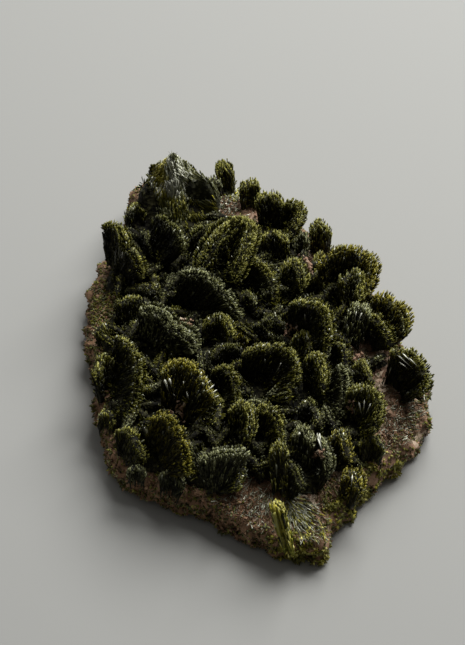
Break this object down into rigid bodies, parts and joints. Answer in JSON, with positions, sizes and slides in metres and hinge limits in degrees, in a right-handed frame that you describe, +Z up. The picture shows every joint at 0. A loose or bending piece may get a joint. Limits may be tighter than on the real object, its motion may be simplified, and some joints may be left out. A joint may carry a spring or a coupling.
{
  "type": "epidote mineral specimen",
  "caption": "Hand-sized epidote specimen: fan-shaped sprays of dark green crystals standing on a flat-bottomed slab of host rock.",
  "frame": {"origin": "centre of the bounding box's bottom, on the rock's flat underside", "axes": "+Z up out of the crystal-covered side, +Y along the slab to its raised far corner, +X to the right as seen from the front"},
  "size_m": [0.0694, 0.0928, 0.0249],
  "materials": {
    "host_rock": "matte",
    "epidote": "satin"
  },
  "bodies": {
    "root": {"matrix": "host_rock", "epidote_crust": "epidote", "far_spray_1": "epidote", "far_spray_2": "epidote", "far_spray_3": "epidote", "right_spray_1": "epidote", "right_spray_2": "epidote", "front_spray_1": "epidote", "front_spray_2": "epidote"}
  },
  "joints": []
}
